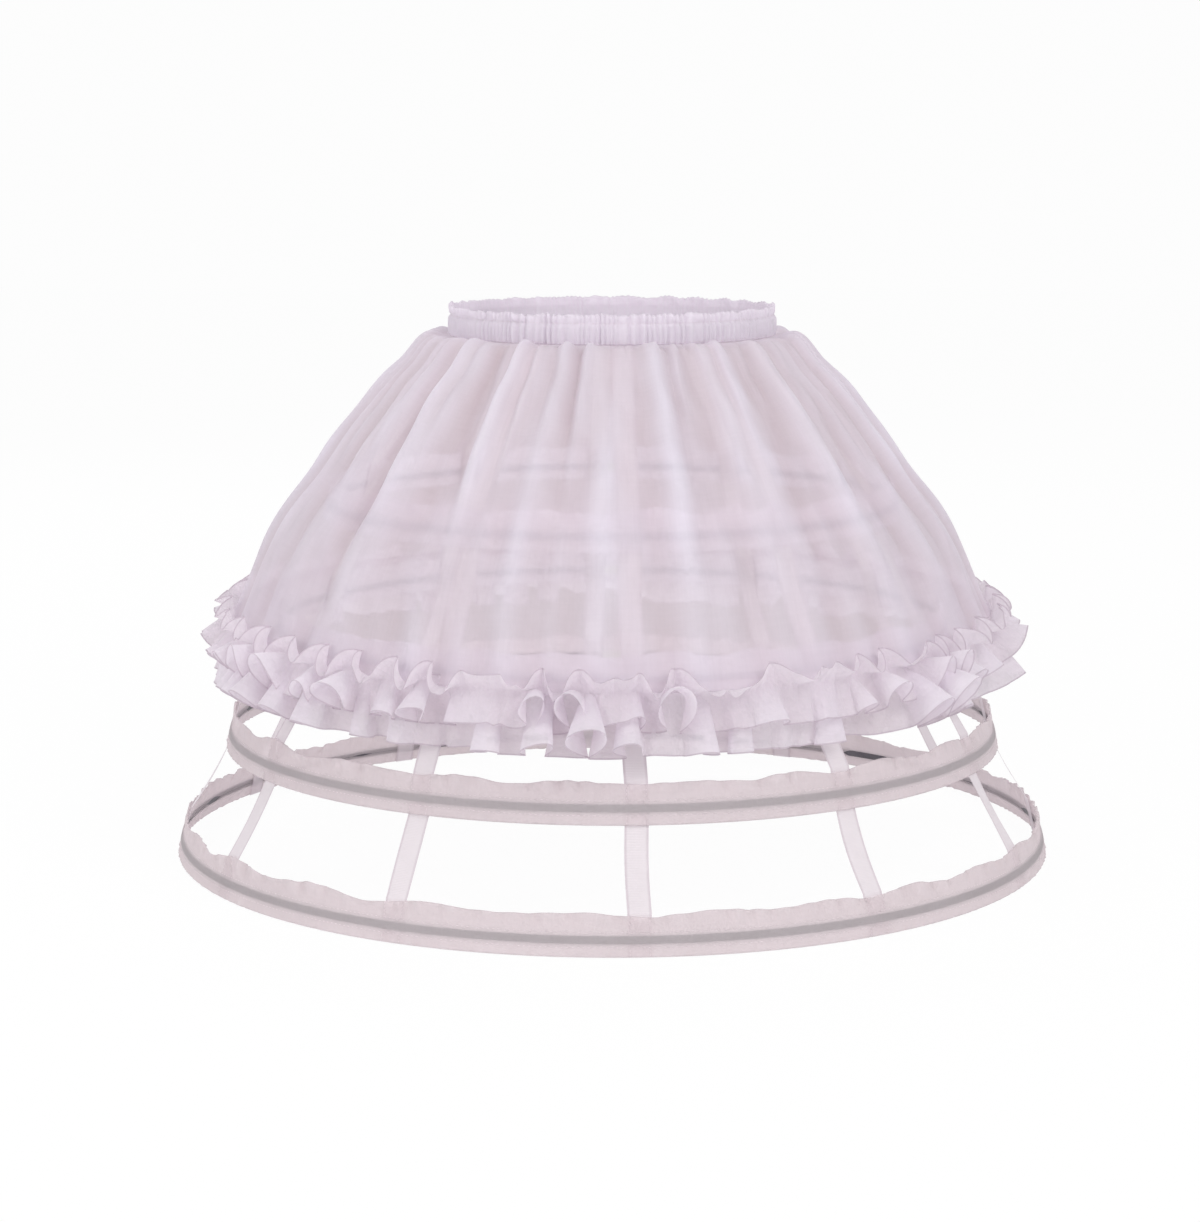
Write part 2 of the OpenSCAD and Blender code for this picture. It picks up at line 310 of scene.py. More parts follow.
@dataclass(frozen=True)
class SolidFinish:
    """Finish of a small rigid or knitted piece: one base colour with rubbed patches and fine grain."""

    name: str
    base: str
    rubbed: str
    grain_mm: float
    roughness: float
    metallic: float = 0.0
    stretch: tuple[float, float, float] = (1.0, 1.0, 1.0)
    bump_mm: float = 0.05
    patch_mm: float = 40.0

    def material(self) -> Material:
        """Builds the node material.

        Returns:
            The material, which reads Object coordinates.
        """
        material, tree = new_tree(self.name)
        place = add_node(tree, "ShaderNodeTexCoord").outputs["Object"]
        drawn = add_node(tree, "ShaderNodeMapping", {"Vector": place, "Scale": self.stretch})
        grain = add_noise(tree, drawn.outputs["Vector"], self.grain_mm, detail=3.0, dimensions="3D")
        patch = add_noise(tree, place, self.patch_mm, detail=2.0, dimensions="3D")
        level = add_range(tree, add_math(tree, "MULTIPLY", grain, patch), (0.15, 0.4))
        shader = add_node(tree, "ShaderNodeBsdfPrincipled", {
            "Base Color": add_blend(tree, level, linear(self.base), linear(self.rubbed)),
            "Metallic": self.metallic,
            "Roughness": add_range(tree, grain, new=(self.roughness - 0.08, self.roughness + 0.08)),
            "Normal": add_bump(tree, grain, strength=0.4, depth_mm=self.bump_mm)})
        add_node(tree, "ShaderNodeOutputMaterial", {"Surface": shader.outputs["BSDF"]})
        return material


@dataclass(frozen=True)
class UnevenFolds:
    """Folds round a ring whose widths and depths differ from fold to fold, the same on every run."""

    count: int
    seed: int
    spread: float = 0.4
    depth_spread: float = 0.35
    sharp: float = 0.4
    skew: float = 0.5
    terms: int = 9

    def draws(self, salt: int) -> list[tuple[int, float]]:
        """Draws whole-number frequencies with phases, so that the ring closes."""
        rng = random.Random(self.seed * 101 + salt)
        top = max(3, self.count // 2)
        return [(rng.randint(1, top), rng.uniform(0, TURN)) for _ in range(self.terms)]

    def phase(self, angle: Array) -> Array:
        """Phase of the folds at each angle, one turn per fold."""
        total = self.count * angle
        for freq, shift in self.draws(1):
            reach = self.spread * self.count / (freq * math.sqrt(self.terms))
            total = total + reach * np.sin(freq * angle + shift)
        return total

    def depth(self, angle: Array) -> Array:
        """Depth of the folds at each angle, about 1."""
        total = np.zeros_like(angle)
        for freq, shift in self.draws(2):
            total = total + np.sin(freq * angle + shift)
        return np.clip(1 + self.depth_spread * total * math.sqrt(2 / self.terms), 0.15, 2.0)

    def wave(self, angle: Array, shift: float | Array = 0.0) -> Array:
        """Height of the folds at each angle, from -1 in a narrow valley to 1 on a round ridge."""
        share = ((self.phase(angle) + shift) / TURN) % 1
        rise, fall = share / self.skew, (share - self.skew) / (1 - self.skew)
        half = np.where(share < self.skew, 1 - np.clip(rise, 0, 1), np.clip(fall, 0, 1))
        return self.depth(angle) * ((1 - self.sharp) * np.cos(np.pi * half)
                                    + self.sharp * (2 * np.cos(np.pi / 2 * half) - 1))


def smooth_step(value: Array, low: float, high: float) -> Array:
    """Rises smoothly from 0 at low to 1 at high."""
    share = np.clip((value - low) / (high - low), 0, 1)
    return share * share * (3 - 2 * share)


def on_ring(angle: Array, radius: Array, height: Array) -> Array:
    """Points at a radius and height round the axis, angle 0 at the front."""
    angle, radius, height = np.broadcast_arrays(angle, radius, height)
    return np.stack([radius * np.sin(angle), -radius * np.cos(angle), height], axis=-1)


def ring_axes(turn: float, rise: float = 0.0) -> tuple[Array, Array]:
    """Directions along a ring and out from it at an angle, the second tipped up by a share."""
    along = np.array([math.cos(turn), math.sin(turn), 0])
    return along, np.array([math.sin(turn), -math.cos(turn), rise])


def bent_sheet(name: str, along: int, across: int, flat: tuple[float, float], place: Place,
               closed: bool = True) -> Object:
    """Makes a sheet of cloth from a flat grid that is bent into place.

    Args:
        name: the piece's name.
        along: number of steps along the cloth's length.
        across: number of steps across its width.
        flat: the cloth's width and length in metres, for its UV map.
        place: gives points and fold depths for shares along and across the cloth.
        closed: whether the two ends are sewn together.

    Returns:
        The new object, at the origin.
    """
    points, folds = place(np.linspace(0, 1, along + 1)[:, None], np.linspace(0, 1, across + 1)[None, :])
    folds = np.broadcast_to(folds, points.shape[:2])
    bm = bmesh.new()
    cloth = bm.loops.layers.uv.new(CLOTH_UV)
    fold = bm.verts.layers.float.new(FOLD_LAYER)
    bmesh.ops.create_grid(bm, x_segments=along, y_segments=across, size=0.5)
    for face in bm.faces:
        face.smooth = True
        for loop in face.loops:
            spot = loop.vert.co
            loop[cloth].uv = ((spot.x + 0.5) * flat[1], (spot.y + 0.5) * flat[0])
    for vert in bm.verts:
        i, j = round((vert.co.x + 0.5) * along), round((vert.co.y + 0.5) * across)
        vert[fold] = folds[i, j]
        vert.co = points[i, j]
    if closed:
        bmesh.ops.remove_doubles(bm, verts=bm.verts, dist=1e-6)
    return as_object(name, bm)


def as_object(name: str, bm: bmesh.types.BMesh) -> Object:
    """Turns a bmesh into a linked object and frees the bmesh."""
    mesh = bpy.data.meshes.new(name)
    bm.to_mesh(mesh)
    bm.free()
    thing = bpy.data.objects.new(name, mesh)
    bpy.context.scene.collection.objects.link(thing)
    return thing


def dress(thing: Object, material: Material, slot: str, *nodes: str) -> None:
    """Gives a piece its material and body, and hides the solids that it stands for.

    Args:
        thing: the new piece.
        material: its finish.
        slot: not used.
        nodes: names of the CAD nodes that it replaces.
    """
    thing.data.materials.clear()
    thing.data.materials.append(material)
    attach(thing, "root")
    if nodes:
        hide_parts(*nodes)
    log.info("%s: %d faces", thing.name, len(thing.data.polygons))


@dataclass
class Stitches:
    """Rows of short thread stitches, each a slim bead that lies on the cloth."""

    name: str
    length: float = 2.4 * MM
    thick: float = 0.35 * MM
    bm: bmesh.types.BMesh = field(default_factory=bmesh.new)

    def lay(self, spot: Array, run: Array, out: Array) -> None:
        """Lays one stitch.

        Args:
            spot: its middle.
            run: direction of the thread.
            out: direction away from the cloth.
        """
        x = Vector(run).normalized()
        z = Vector(out)
        z = (z - x * z.dot(x)).normalized()
        turn = Matrix((x, z.cross(x), z)).transposed().to_4x4()
        size = Matrix.Diagonal((self.length / 2, self.thick / 2, self.thick / 2, 1))
        bmesh.ops.create_icosphere(self.bm, subdivisions=1, radius=1.0,
                                   matrix=Matrix.Translation(Vector(spot)) @ turn @ size)

    def finish(self, material: Material, slot: str) -> None:
        """Turns the stitches into one dressed piece."""
        for face in self.bm.faces:
            face.smooth = True
        dress(as_object(self.name, self.bm), material, slot)


@dataclass
class Waistband:
    """Gathered cloth tube that holds the elastic, with a stitched header above it."""

    radius: float = 131.2 * MM
    top: float = 456.0 * MM
    bottom: float = 432.7 * MM
    header: float = 7.0 * MM
    channel_out: float = 134.0 * MM
    header_out: float = 133.2 * MM
    gather_depth: float = 1.8 * MM
    inner_depth: float = 0.25 * MM
    channel_swell: float = 0.9 * MM
    stitch_pinch: float = 0.5 * MM
    pinch_share: float = 0.06
    turn_over_from: float = 0.93
    header_sway: float = 0.9 * MM
    header_wave: float = 0.7 * MM
    tuft_height: float = 3.0 * MM
    tufts_deg: tuple[float, float] = (86, 274)
    tuft_width: float = 0.03
    stitch_count: int = 290
    stitch_proud: float = 0.15 * MM
    gathers: UnevenFolds = UnevenFolds(count=164, seed=3, spread=0.4, depth_spread=0.4, sharp=0.5)
    slow: UnevenFolds = UnevenFolds(count=31, seed=4)
    along: int = 1176
    across: int = 34
    flat: tuple[float, float] = (0.052, 1.15)

    def place(self, u: Array, v: Array) -> tuple[Array, Array]:
        """Goes up the outside of the band, over the header's edge and down the inside.

        Args:
            u: share round the waist.
            v: share across the cloth, from the seam outside to the seam inside.

        Returns:
            Points, and how deep in a gather or in the stitch pinch each lies, which the finish paints as
            shade.
        """
        angle = u * TURN
        tall = self.top - self.bottom
        outside = v <= 0.5
        rise = np.where(outside, v * 2, (1 - v) * 2)
        height = self.bottom + rise * tall
        stitch = 1 - self.header / tall
        pinch = np.exp(-(((rise - stitch) / self.pinch_share) ** 2))
        swell = np.sin(np.pi * np.clip(rise / stitch, 0, 1)) ** 0.7
        in_header = smooth_step(rise, stitch, stitch + 2 * self.pinch_share)
        outer = self.channel_out + self.channel_swell * swell * (1 - in_header) - self.stitch_pinch * pinch
        outer = outer + (self.header_out - self.channel_out + 0.4 * MM) * in_header
        base = np.where(outside, outer, self.radius + 0.8 * MM * in_header)
        turn_over = smooth_step(rise, self.turn_over_from, 1.0)
        base = base + (0.5 * (self.header_out + self.radius + 1.2 * MM) - base) * turn_over
        ridge = 0.5 + 0.5 * self.gathers.wave(angle)
        depth = np.where(outside, self.gather_depth * (1 - 0.55 * pinch), self.inner_depth)
        radius = base + depth * (1 - 0.35 * turn_over) * ridge
        radius = radius + self.header_sway * in_header * self.slow.wave(angle)
        edge = self.header_wave * (self.slow.wave(angle, 1.3) + 0.6 * self.gathers.wave(angle, 0.8))
        for side_deg in self.tufts_deg:
            gap = (angle - math.pi) % TURN - (math.radians(side_deg) - math.pi) % TURN
            edge = edge + self.tuft_height * np.exp(-((gap / self.tuft_width) ** 2))
        # the fold value, which the cloth finish paints as shade, is raised along the stitch pinch
        return on_ring(angle, radius, height + edge * in_header), (0.5 - ridge) + 0.5 * pinch

    def build(self, cloth: Material, thread: Material) -> None:
        """Builds the band and its two rows of stitches."""
        band = bent_sheet("gathered_waistband", self.along, self.across, self.flat, self.place)
        dress(band, cloth, "waistband_cloth", "waistband")
        rows = Stitches("waistband_stitches", length=2.2 * MM)
        for height in (self.top - self.header, self.bottom + 1.2 * MM):
            share = 0.5 * (height - self.bottom) / (self.top - self.bottom)
            turns = (np.arange(self.stitch_count) + 0.5)[:, None] / self.stitch_count
            spots, _ = self.place(turns, np.full((1, 1), share))
            for spot, turn in zip(spots[:, 0], turns[:, 0] * TURN):
                run, out = ring_axes(turn)
                rows.lay(spot + out * self.stitch_proud, run, out)
        rows.finish(thread, "waistband_cloth")


@dataclass(frozen=True)
class MainFolds:
    """The skirt's main folds, which its solid has too: uneven in width, depth and lean."""

    count: int = 24
    depth: float = 7.0 * MM
    start: float = 0.12
    fullest: float = 0.6
    at_hem: float = 0.35
    front_dip: float = 14.0 * MM
    drift: tuple[tuple[float, int, float], ...] = ((38, 5, 20), (30, 3, 100), (16, 11, 200))
    sizes: tuple[tuple[float, int, float], ...] = ((0.2, 7, 50), (0.15, 4, 150))

    def wave(self, angle: Array) -> Array:
        """Height of the folds at each angle, from -1 to 1."""
        phase = self.count * angle
        for turn, freq, shift in self.drift:
            phase = phase + math.radians(turn) * np.sin(freq * angle + math.radians(shift))
        size = 1.0
        for share, freq, shift in self.sizes:
            size = size + share * np.sin(freq * angle + math.radians(shift))
        return size / 1.35 * (np.cos(phase) + 0.25 * np.cos(2 * phase + math.radians(60))) / 1.25

    def relief(self, angle: Array, u: Array) -> Array:
        """Height in metres of the folds at an angle and a share down the skirt."""
        share = np.interp(u, (0, self.start, self.fullest, 1), (0, 0.4, 1, self.at_hem))
        return self.depth * share * self.wave(angle)

    def dip(self, angle: Array, u: Array | float) -> Array:
        """How much lower the skirt hangs at an angle and a share down it, most at the front of the hem."""
        return self.front_dip * u ** 2 * ((1 + np.cos(angle)) / 2) ** 2


@dataclass(frozen=True)
class AccentFold:
    """One strong valley in the skirt: angles in degrees at its two ends, and where it starts and stops."""

    top_deg: float
    hem_deg: float
    start: float
    stop: float
    depth_mm: float
    width_mm: float


@dataclass
class Overskirt:
    """Short gathered skirt of sheer cloth that falls from the waistband over the two upper hoops."""

    collar_r: float = 133.4 * MM
    collar_z: float = 434.2 * MM
    bend_z: float = 431.6 * MM
    hem_r: float = 317.3 * MM
    hem_z: float = 202.15 * MM
    power: float = 1.7
    puff: float = 7.0 * MM
    hollow: float = 8.0 * MM
    bell: float = 7.0 * MM
    collar: float = 0.02
    fine_depth: float = 1.0 * MM
    middle_depth: float = 2.5 * MM
    soft_depth: float = 0.8 * MM
    fine: UnevenFolds = UnevenFolds(count=104, seed=11, spread=0.5, depth_spread=0.5, sharp=0.5)
    middle: UnevenFolds = UnevenFolds(count=46, seed=12, spread=0.55, depth_spread=0.5, sharp=0.4, skew=0.3)
    main: MainFolds = MainFolds()
    accents: tuple[AccentFold, ...] = tuple(AccentFold(*fold) for fold in (
        (-37, -27, 0.05, 1.0, 6.0, 9), (-1, -0.5, 0.02, 0.45, 4.0, 7), (-55, -48, 0.05, 0.9, 5.0, 10),
        (-16, -13, 0.1, 0.95, 3.5, 9), (21, 14, 0.05, 0.8, 4.0, 9), (44, 33, 0.05, 0.95, 4.5, 10),
        (66, 57, 0.05, 0.9, 4.5, 10), (104, 99, 0.05, 1.0, 4.5, 10), (139, 147, 0.05, 0.95, 5.0, 10),
        (178, 171, 0.04, 0.9, 4.5, 9), (212, 219, 0.05, 1.0, 5.0, 10), (251, 246, 0.05, 0.9, 4.5, 10)))
    along: int = 1040
    across: int = 76
    flat: tuple[float, float] = (0.31, 2.1)
    area: float = 0.52

    def profile(self, u: Array) -> tuple[Array, Array]:
        """Radius and height down the skirt, from 0 at the waist to 1 at the hem."""
        radius = self.collar_r + (self.hem_r - self.collar_r) * u
        radius = radius - self.hollow * np.sin(np.pi * np.clip(u, 0, 1))
        radius = radius + self.bell * np.sin(np.pi * np.clip((u - 0.6) / 0.4, 0, 1)) ** 2
        lift = self.puff * np.sin(np.pi * np.clip((u - 0.02) / 0.24, 0, 1)) ** 2
        return radius, self.bend_z - (self.bend_z - self.hem_z) * u ** self.power + lift

    def valley(self, angle: Array, u: Array) -> Array:
        """Depth in metres of the accent folds."""
        total = np.zeros(np.broadcast_shapes(angle.shape, u.shape))
        radius, _ = self.profile(u)
        for fold in self.accents:
            centre = math.radians(fold.top_deg) + math.radians(fold.hem_deg - fold.top_deg) * u
            gap = (angle - centre + math.pi) % TURN - math.pi
            width = fold.width_mm * MM / radius * (0.7 + 0.6 * u)
            begin = smooth_step(u, fold.start, fold.start + 0.12)
            run = begin * (1 - smooth_step(u, fold.stop - 0.3, fold.stop + 0.1))
            total = total + fold.depth_mm * MM * run * np.exp(-((gap / width) ** 2))
        return total

    def relief(self, angle: Array, u: Array) -> Array:
        """Height in metres of all the folds above the smooth skirt."""
        fine = self.fine_depth * (1 - smooth_step(u, 0.03, 0.2)) * self.fine.wave(angle)
        fade = smooth_step(u, 0.01, 0.12) * (1 - 0.8 * smooth_step(u, 0.25, 0.7))
        middle = self.middle_depth * fade * self.middle.wave(angle, 1.6 * u)
        slow = np.sin(37 * angle + 9 * u) * np.sin(11 * u + 5 * angle)
        slow = slow + np.sin(53 * angle - 14 * u + 1.0) * np.cos(17 * u)
        soft = self.soft_depth * smooth_step(u, 0.1, 0.4) * slow
        return fine + middle + self.main.relief(angle, u) + soft - self.valley(angle, u)

    def place(self, u: Array, v: Array) -> tuple[Array, Array]:
        """Goes from the waistband seam down to the hem.

        Args:
            u: share round the skirt.
            v: share from the seam to the hem.

        Returns:
            Points, and how deep in a fold each lies.
        """
        angle = u * TURN
        share = np.clip((v - self.collar) / (1 - self.collar), 0, 1) ** 1.15
        radius, height = self.profile(share)
        step = 1e-4
        r2, z2 = self.profile(share + step)
        run = np.hypot(r2 - radius, z2 - height)
        out_r, out_z = (height - z2) / run, (r2 - radius) / run
        relief = self.relief(angle, share) * smooth_step(share, 0.0, 0.03)
        tuck = 1 - np.clip(v / self.collar, 0, 1)
        height = height - self.main.dip(angle, share) + tuck * (self.collar_z - self.bend_z)
        points = on_ring(angle, radius + out_r * relief, height + out_z * relief)
        return points, np.clip(-relief / self.main.depth, -1, 1)

    def build(self, cloth: Material) -> None:
        """Builds the skirt."""
        skirt = bent_sheet("gathered_overskirt", self.along, self.across, self.flat, self.place)
        dress(skirt, cloth, "skirt_cloth", "overskirt")


class Tier(Enum):
    """The two frills at the skirt's hem."""

    UPPER = "upper"
    LOWER = "lower"


@dataclass
class Frill:
    """Gathered strip at the skirt's hem, fluted along its free edge."""

    tier: Tier
    seam_r: float
    seam_z: float
    width: float
    above: float
    tilt_deg: float
    tilt_spread: float
    pin: tuple[float, float]
    droop_deg: float
    swing: float
    flutes: UnevenFolds
    pleats: UnevenFolds
    ripples: UnevenFolds
    flat: tuple[float, float]
    lean: float = 6.0 * MM
    ripple_depth: float = 2.0 * MM
    pleat_depth: float = 1.5 * MM
    hem: MainFolds = MainFolds()
    unrest: UnevenFolds = UnevenFolds(count=9, seed=41, spread=0.6, depth_spread=0.5, sharp=0)
    unrest_deg: float = 13.0
    unrest_share: float = 0.25
    along: int = 960
    across: int = 12
    crisp: float = 0.4
    weight: float = 0.1
    frames: int = 14

    def place(self, u: Array, v: Array) -> tuple[Array, Array]:
        """Goes from the top edge, past the seam, to the lower free edge.

        Args:
            u: share round the hem.
            v: share from the top edge to the free edge.

        Returns:
            Points, and how deep in a flute each lies.
        """
        angle = u * TURN
        down = v * (self.width + self.above) - self.above
        share, over = np.clip(down / self.width, 0, 1), np.clip(-down / self.above, 0, 1)
        phase, depth = self.flutes.phase(angle), self.flutes.depth(angle)
        grow = share ** 0.85
        wave = self.flutes.wave(angle) + 0.22 * np.sin(2 * phase + 0.8)
        slow = self.unrest.wave(angle)
        swing = self.swing * (1 + self.unrest_share * slow) * grow * wave
        swing = swing + self.ripple_depth * grow * self.ripples.wave(angle, 1.5 * share)
        held = (1 - smooth_step(share, 0.1, 0.6)) * (1 - over)
        swing = swing + self.pleat_depth * held * self.pleats.wave(angle)
        side = self.lean * grow * depth * np.sin(2 * phase)
        length = self.width * share
        reach = np.sqrt(np.maximum(length ** 2 - 0.75 * swing ** 2, (0.45 * length) ** 2))
        droop = np.radians(np.minimum(self.droop_deg - self.unrest_deg * slow, 88))
        out_r, out_z = np.cos(droop), -np.sin(droop)
        up_r, up_z = np.sin(droop), np.cos(droop)
        radius = self.seam_r + self.hem.relief(angle, np.ones(1)) + reach * out_r + swing * up_r
        height = self.seam_z - self.hem.dip(angle, 1.0) + reach * out_z + swing * up_z
        lobe = self.flutes.wave(angle, 2.4) + 0.15 * self.ripples.wave(angle)
        tilt = np.radians(np.clip(self.tilt_deg + self.tilt_spread * lobe, -30, 100))
        radius = radius + over * self.above * np.sin(tilt)
        height = height + over * self.above * np.cos(tilt)
        return on_ring(angle + side / self.seam_r, radius, height), np.clip(-wave * grow, -1, 1)

    def settle(self, strip: Object) -> None:
        """Lets the strip, which is cut longer than its seam, buckle into flutes and hang.

        Args:
            strip: the placed strip, whose cut length is in its UV map.
        """
        mesh = strip.data
        cut_at = np.zeros((len(mesh.vertices), 2))
        for loop, spot in zip(mesh.loops, mesh.uv_layers[CLOTH_UV].data):
            cut_at[loop.vertex_index] = spot.uv
        strip.shape_key_add(name="gathered")
        cut = strip.shape_key_add(name="cut")
        ring = on_ring(cut_at[:, 0] / self.flat[1] * TURN, self.flat[1] / TURN, -cut_at[:, 1])
        cut.data.foreach_set("co", ring.ravel())
        seam = strip.vertex_groups.new(name="seam")
        low, high = (self.above + x for x in self.pin)
        seam.add([i for i, at in enumerate(cut_at) if low <= at[1] <= high], 1.0, "REPLACE")
        cloth = strip.modifiers.new("settle", "CLOTH")
        voile = {"quality": 5, "mass": 0.04, "tension_stiffness": 10.0, "compression_stiffness": 10.0,
                 "shear_stiffness": 4.0, "bending_stiffness": self.crisp, "air_damping": 2.0,
                 "vertex_group_mass": seam.name, "rest_shape_key": cut}
        for name, value in voile.items():
            setattr(cloth.settings, name, value)
        cloth.settings.effector_weights.gravity = self.weight
        cloth.collision_settings.use_collision = False
        cloth.collision_settings.use_self_collision = False
        cloth.point_cache.frame_end = self.frames
        scene = bpy.context.scene
        for step in range(1, self.frames + 1):
            scene.frame_set(step)
        hung = strip.evaluated_get(bpy.context.evaluated_depsgraph_get()).data
        spots = np.zeros(len(hung.vertices) * 3)
        hung.vertices.foreach_get("co", spots)
        strip.modifiers.remove(cloth)
        strip.vertex_groups.remove(seam)
        strip.shape_key_clear()
        mesh.vertices.foreach_set("co", spots)
        mesh.update()
        scene.frame_set(1)

    def build(self, finish: SheerCloth) -> None:
        """Builds the frill, lets it settle and smooths it.

        Args:
            finish: the cloth's finish, without its hems.
        """
        name = f"{self.tier.value}_gathered_frill"
        frill = bent_sheet(name, self.along, self.across, self.flat, self.place)
        self.settle(frill)
        round_off = frill.modifiers.new("round_off", "SUBSURF")
        round_off.levels = round_off.render_levels = 1
        hemmed = replace(finish, name=f"{finish.name}_{self.tier.value}", strip_mm=self.flat[0] / MM)
        dress(frill, hemmed.material(), "frill_cloth", f"{self.tier.value}_frill")


@dataclass
class HoopCasing:
    """Folded strip of sheer cloth round a hoop bone, stitched above and below it and puckered."""

    number: int
    bone: tuple[float, float] = (6.0 * MM, 1.2 * MM)
    lean_deg: float = 14.0
    low: float = -13.0 * MM
    high: float = 19.0 * MM
    ply: float = 0.35 * MM
    bulge: float = 1.0 * MM
    slit: float = 0.1 * MM
    gape: float = 3.2 * MM
    lip: float = 2.6 * MM
    channel: float = 3.3 * MM
    stitched: float = 4.4 * MM
    seam: float = 5.6 * MM
    turn: float = 0.8 * MM
    pucker_mm: float = 26.0
    crease_mm: float = 11.0
    stitch_pitch: float = 4.0 * MM
    stitch_depth: float = 0.65 * MM
    along: int = 760
    rows: int = 56

    def __post_init__(self) -> None:
        """Reads the hoop's size from its bone."""
        if self.number not in BARE_HOOPS:
            self.gape = 0.0
        low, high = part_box(f"hoop_bone_{self.number}")
        lean = math.radians(self.lean_deg)
        tall, thick = self.bone
        reach = tall / 2 * math.sin(lean) + thick / 2 * math.cos(lean)
        self.radius: float = (high.x - low.x) / 2 - reach
        self.height: float = (high.z + low.z) / 2
        round_mm = self.radius * TURN / MM
        self.pucker = UnevenFolds(count=int(round_mm / self.pucker_mm), seed=40 + self.number, spread=0.45,
                                  depth_spread=0.6, sharp=0.3)
        self.crease = UnevenFolds(count=int(round_mm / self.crease_mm), seed=50 + self.number, spread=0.45,
                                  depth_spread=0.8, sharp=0.2)
        self.slack = UnevenFolds(count=23, seed=60 + self.number, spread=0.4, depth_spread=0.5, sharp=0.2)

    def section(self) -> tuple[Array, Array]:
        """Heights and depths across the cloth, from the inner slit over the top and bottom folds and back."""
        ply, bulge, flank = self.ply, self.bulge, 0.95 * self.bulge
        top = [(self.stitched, ply), (self.high - self.turn, ply), (self.high, ply / 2)]
        foot = [(-self.stitched, ply), (self.low + self.turn, ply), (self.low, ply / 2)]
        crown = [(self.channel, flank), (2 * MM, bulge), (-2 * MM, bulge), (-self.channel, flank)]
        outer = [*top[::-1], *crown, *foot]
        inner_top = [(rise, -depth) for rise, depth in [(self.slit, bulge), crown[0], *top]]
        inner_foot = [(rise, -depth) for rise, depth in [*foot[::-1], crown[-1], (-self.slit, bulge)]]
        rise, depth = np.array([*inner_top, *outer, *inner_foot]).T
        run = np.r_[0, np.cumsum(np.hypot(np.diff(rise), np.diff(depth)))]
        steps = np.linspace(0, run[-1], self.rows + 1)
        self.flat_width: float = float(run[-1])
        return np.interp(steps, run, rise), np.interp(steps, run, depth)

    def at(self, angle: Array, rise: Array, depth: Array) -> Array:
        """Points at a height up the leaning casing and a depth out from the bone's middle."""
        lean = math.radians(self.lean_deg)
        radius = self.radius + depth * math.cos(lean) - rise * math.sin(lean)
        return on_ring(angle, radius, self.height + depth * math.sin(lean) + rise * math.cos(lean))

    def ruffle(self, angle: Array, rise: Array) -> Array:
        """How far the puckers push both plies out."""
        above = smooth_step(rise, 5 * MM, self.high)
        below = smooth_step(-rise, 5 * MM, -self.low)
        slope = rise / (9 * MM)
        upper = 0.9 * self.pucker.wave(angle, 0.7 * slope) + 0.55 * self.crease.wave(angle, slope)
        return MM * (above * upper + 0.4 * below * self.crease.wave(angle, 2 - slope))

    def place(self, u: Array, v: Array) -> tuple[Array, Array]:
        """Goes across the folded strip.

        Args:
            u: share round the hoop.
            v: share across the cloth.

        Returns:
            Points, and how deep in a pucker each lies.
        """
        angle = u * TURN
        rise, depth = (x[None, :] for x in self.section())
        lip = np.exp(-((np.abs(rise) / self.lip) ** 2)) * (depth < 0)
        rise = rise + lip * np.sign(rise) * self.gape * smooth_step(self.slack.wave(angle, 0.9), 0.35, 1.1)
        edge = smooth_step(rise, 10 * MM, self.high)
        ruffle = self.ruffle(angle, rise)
        rise = rise + edge * (0.35 * MM * self.pucker.wave(angle, 2.0) + 1.7 * MM * self.slack.wave(angle))
        return self.at(angle, rise, depth + ruffle), np.clip(-ruffle / (1.6 * MM), -1, 1)

    def on_cloth(self, turn: np.float64, rise: np.float64) -> Array:
        """Point on the casing's outer face, where a stitch lies."""
        return self.at(turn, rise, self.stitch_depth + self.ruffle(turn, rise))

    def build(self, cloth: Material, thread: Material) -> None:
        """Builds the casing and the stitches beside its bone channel."""
        self.section()
        flat = (round(self.flat_width, 4), round(self.radius * TURN, 3))
        band = bent_sheet(f"sheer_casing_{self.number}", self.along, self.rows, flat, self.place)
        dress(band, cloth, "casing_cloth", f"hoop_casing_{self.number}")
        rows = Stitches(f"channel_stitches_{self.number}")
        count = int(self.radius * TURN / self.stitch_pitch)
        for rise in (self.seam, -self.seam):
            for turn in (np.arange(count) + 0.5) / count * TURN:
                rows.lay(self.on_cloth(turn, np.float64(rise)), *ring_axes(turn, rise=0.25))
        rows.finish(thread, "casing_cloth")


